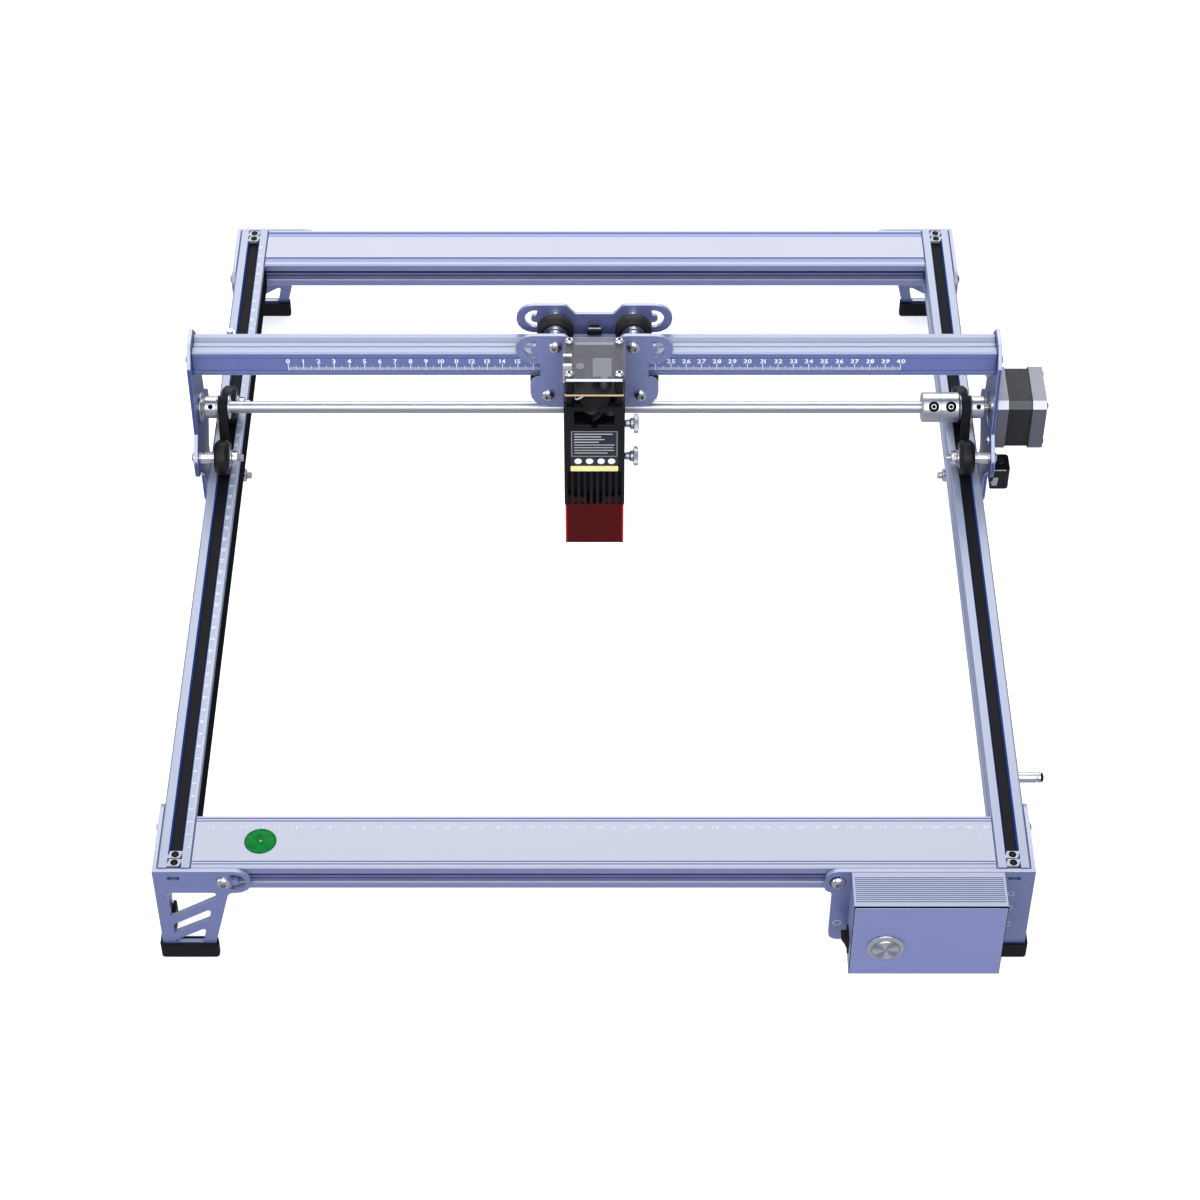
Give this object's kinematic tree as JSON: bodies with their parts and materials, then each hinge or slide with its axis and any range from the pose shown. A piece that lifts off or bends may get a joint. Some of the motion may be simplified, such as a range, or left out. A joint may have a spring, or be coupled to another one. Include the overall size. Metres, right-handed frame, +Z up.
{
  "type": "desktop laser cutter",
  "caption": "Open-frame gantry cutter: slotted square frame on corner feet, a rolling beam and carriage, and a hanging diode laser head.",
  "frame": {"origin": "middle of the footprint, on the floor", "axes": "+X to the right along the beam, +Y to the rear along the side rails, +Z up"},
  "size_m": [0.5626, 0.632, 0.1897],
  "materials": {
    "anodised": "satin anodised blue-grey",
    "steel": "polished",
    "rubber": "matt black",
    "wheel_rubber": "satin black",
    "black_plastic": "satin black",
    "black_aluminium": "black anodised",
    "motor_steel": "cast, with a black middle",
    "coupling_aluminium": "turned",
    "circuit_board": "glass board",
    "smoke_acrylic": "smoked clear acrylic",
    "red_acrylic": "dark red clear acrylic",
    "level_green": "clear green"
  },
  "bodies": {
    "frame": {"left_rail": "anodised", "right_rail": "anodised", "front_panel": "anodised", "rear_panel": "anodised", "bubble_level": "level_green", "end_stop_pin": "steel", "front_left_bracket": "anodised", "front_right_bracket": "anodised", "rear_left_bracket": "anodised", "rear_right_bracket": "anodised", "front_left_foot": "rubber", "front_right_foot": "rubber", "rear_left_foot": "rubber", "rear_right_foot": "rubber", "control_box_shell": "anodised", "control_box_cover": "anodised", "main_board": "circuit_board", "button_bezel": "steel", "port_block": "black_plastic", "left_belt": "rubber", "right_belt": "rubber"},
    "button": {"power_button": "steel"},
    "rocker": {"rocker_switch": "black_plastic"},
    "gantry": {"gantry_beam": "anodised", "left_gantry_plate": "anodised", "right_gantry_plate": "anodised", "gantry_motor": "motor_steel", "limit_switch_box": "black_plastic", "left_belt_loop": "rubber", "right_belt_loop": "rubber", "beam_belt": "rubber"},
    "y_drive": {"drive_shaft": "steel", "shaft_coupling": "coupling_aluminium", "left_pulley": "coupling_aluminium", "right_pulley": "coupling_aluminium"},
    "carriage": {"carriage_front_plate": "anodised", "carriage_rear_plate": "anodised", "carriage_motor": "motor_steel", "carriage_belt_loop": "rubber", "laser_mount_rail": "black_aluminium"},
    "x_drive": {"carriage_pulley": "coupling_aluminium"},
    "laser": {"laser_housing": "black_aluminium", "laser_top_cover": "smoke_acrylic", "laser_circuit_board": "circuit_board", "laser_shield": "red_acrylic", "lens_barrel": "black_aluminium"},
    "fan": {"fan_rotor": "black_plastic"},
    "upper_screw": {"upper_thumb_screw": "steel"},
    "lower_screw": {"lower_thumb_screw": "steel"},
    "left_front_wheel": {"left_front_wheel": "wheel_rubber"},
    "left_rear_wheel": {"left_rear_wheel": "wheel_rubber"},
    "left_bottom_wheel": {"left_bottom_wheel": "wheel_rubber"},
    "right_front_wheel": {"right_front_wheel": "wheel_rubber"},
    "right_rear_wheel": {"right_rear_wheel": "wheel_rubber"},
    "right_bottom_wheel": {"right_bottom_wheel": "wheel_rubber"},
    "carriage_upper_left_wheel": {"carriage_upper_left_wheel": "wheel_rubber"},
    "carriage_upper_right_wheel": {"carriage_upper_right_wheel": "wheel_rubber"},
    "carriage_lower_left_wheel": {"carriage_lower_left_wheel": "wheel_rubber"},
    "carriage_lower_right_wheel": {"carriage_lower_right_wheel": "wheel_rubber"}
  },
  "joints": [
    {"name": "y_slide", "type": "slide", "parent": "frame", "child": "gantry", "axis": [0, 1, 0], "range_m": [-0.259, 0.16]},
    {"name": "x_slide", "type": "slide", "parent": "gantry", "child": "carriage", "axis": [1, 0, 0], "range_m": [-0.2, 0.2]},
    {"name": "laser_height", "type": "slide", "parent": "carriage", "child": "laser", "axis": [0, 0, 1], "range_m": [-0.025, 0.015]},
    {"name": "shaft_spin", "type": "hinge", "parent": "gantry", "child": "y_drive", "pos_m": [-0.0163, 0.08425, 0.1115], "axis": [1, 0, 0], "continuous": true},
    {"name": "pulley_spin", "type": "hinge", "parent": "carriage", "child": "x_drive", "pos_m": [-0.0163, 0.08525, 0.124], "axis": [0, 1, 0], "continuous": true},
    {"name": "fan_spin", "type": "hinge", "parent": "laser", "child": "fan", "pos_m": [-0.0163, 0.04425, 0.1525], "axis": [0, 0, 1], "continuous": true},
    {"name": "upper_screw_turn", "type": "hinge", "parent": "laser", "child": "upper_screw", "pos_m": [0.0077, 0.05125, 0.127], "axis": [1, 0, 0], "range_deg": [0, 720]},
    {"name": "lower_screw_turn", "type": "hinge", "parent": "laser", "child": "lower_screw", "pos_m": [0.0077, 0.05125, 0.098], "axis": [1, 0, 0], "range_deg": [0, 720]},
    {"name": "power_button_press", "type": "slide", "parent": "frame", "child": "button", "axis": [0, 1, 0], "range_m": [0, 0.0015], "stiffness_N_per_m": 1000, "springref_m": -0.001},
    {"name": "rocker_tilt", "type": "hinge", "parent": "frame", "child": "rocker", "pos_m": [0.1353, -0.29775, 0.03], "axis": [0, 1, 0], "range_deg": [0, 14]},
    {"name": "left_front_wheel_spin", "type": "hinge", "parent": "gantry", "child": "left_front_wheel", "pos_m": [-0.2633, 0.05725, 0.0907], "axis": [1, 0, 0], "continuous": true},
    {"name": "left_rear_wheel_spin", "type": "hinge", "parent": "gantry", "child": "left_rear_wheel", "pos_m": [-0.2633, 0.11125, 0.0907], "axis": [1, 0, 0], "continuous": true},
    {"name": "left_bottom_wheel_spin", "type": "hinge", "parent": "gantry", "child": "left_bottom_wheel", "pos_m": [-0.2633, 0.08425, 0.0493], "axis": [1, 0, 0], "continuous": true},
    {"name": "right_front_wheel_spin", "type": "hinge", "parent": "gantry", "child": "right_front_wheel", "pos_m": [0.2307, 0.05725, 0.0907], "axis": [1, 0, 0], "continuous": true},
    {"name": "right_rear_wheel_spin", "type": "hinge", "parent": "gantry", "child": "right_rear_wheel", "pos_m": [0.2307, 0.11125, 0.0907], "axis": [1, 0, 0], "continuous": true},
    {"name": "right_bottom_wheel_spin", "type": "hinge", "parent": "gantry", "child": "right_bottom_wheel", "pos_m": [0.2307, 0.08425, 0.0493], "axis": [1, 0, 0], "continuous": true},
    {"name": "carriage_upper_left_wheel_spin", "type": "hinge", "parent": "carriage", "child": "carriage_upper_left_wheel", "pos_m": [-0.0417, 0.08525, 0.1777], "axis": [0, 1, 0], "continuous": true},
    {"name": "carriage_upper_right_wheel_spin", "type": "hinge", "parent": "carriage", "child": "carriage_upper_right_wheel", "pos_m": [0.0091, 0.08525, 0.1777], "axis": [0, 1, 0], "continuous": true},
    {"name": "carriage_lower_left_wheel_spin", "type": "hinge", "parent": "carriage", "child": "carriage_lower_left_wheel", "pos_m": [-0.0467, 0.08525, 0.1363], "axis": [0, 1, 0], "continuous": true},
    {"name": "carriage_lower_right_wheel_spin", "type": "hinge", "parent": "carriage", "child": "carriage_lower_right_wheel", "pos_m": [0.0141, 0.08525, 0.1363], "axis": [0, 1, 0], "continuous": true}
  ],
  "couplings": [
    {"joint": "shaft_spin", "follows": "y_slide", "rad_per_m": 157.08},
    {"joint": "pulley_spin", "follows": "x_slide", "rad_per_m": 157.08},
    {"joint": "left_front_wheel_spin", "follows": "y_slide", "rad_per_m": -93.458},
    {"joint": "left_rear_wheel_spin", "follows": "y_slide", "rad_per_m": -93.458},
    {"joint": "left_bottom_wheel_spin", "follows": "y_slide", "rad_per_m": 93.458},
    {"joint": "right_front_wheel_spin", "follows": "y_slide", "rad_per_m": -93.458},
    {"joint": "right_rear_wheel_spin", "follows": "y_slide", "rad_per_m": -93.458},
    {"joint": "right_bottom_wheel_spin", "follows": "y_slide", "rad_per_m": 93.458},
    {"joint": "carriage_upper_left_wheel_spin", "follows": "x_slide", "rad_per_m": 93.458},
    {"joint": "carriage_upper_right_wheel_spin", "follows": "x_slide", "rad_per_m": 93.458},
    {"joint": "carriage_lower_left_wheel_spin", "follows": "x_slide", "rad_per_m": -93.458},
    {"joint": "carriage_lower_right_wheel_spin", "follows": "x_slide", "rad_per_m": -93.458}
  ]
}
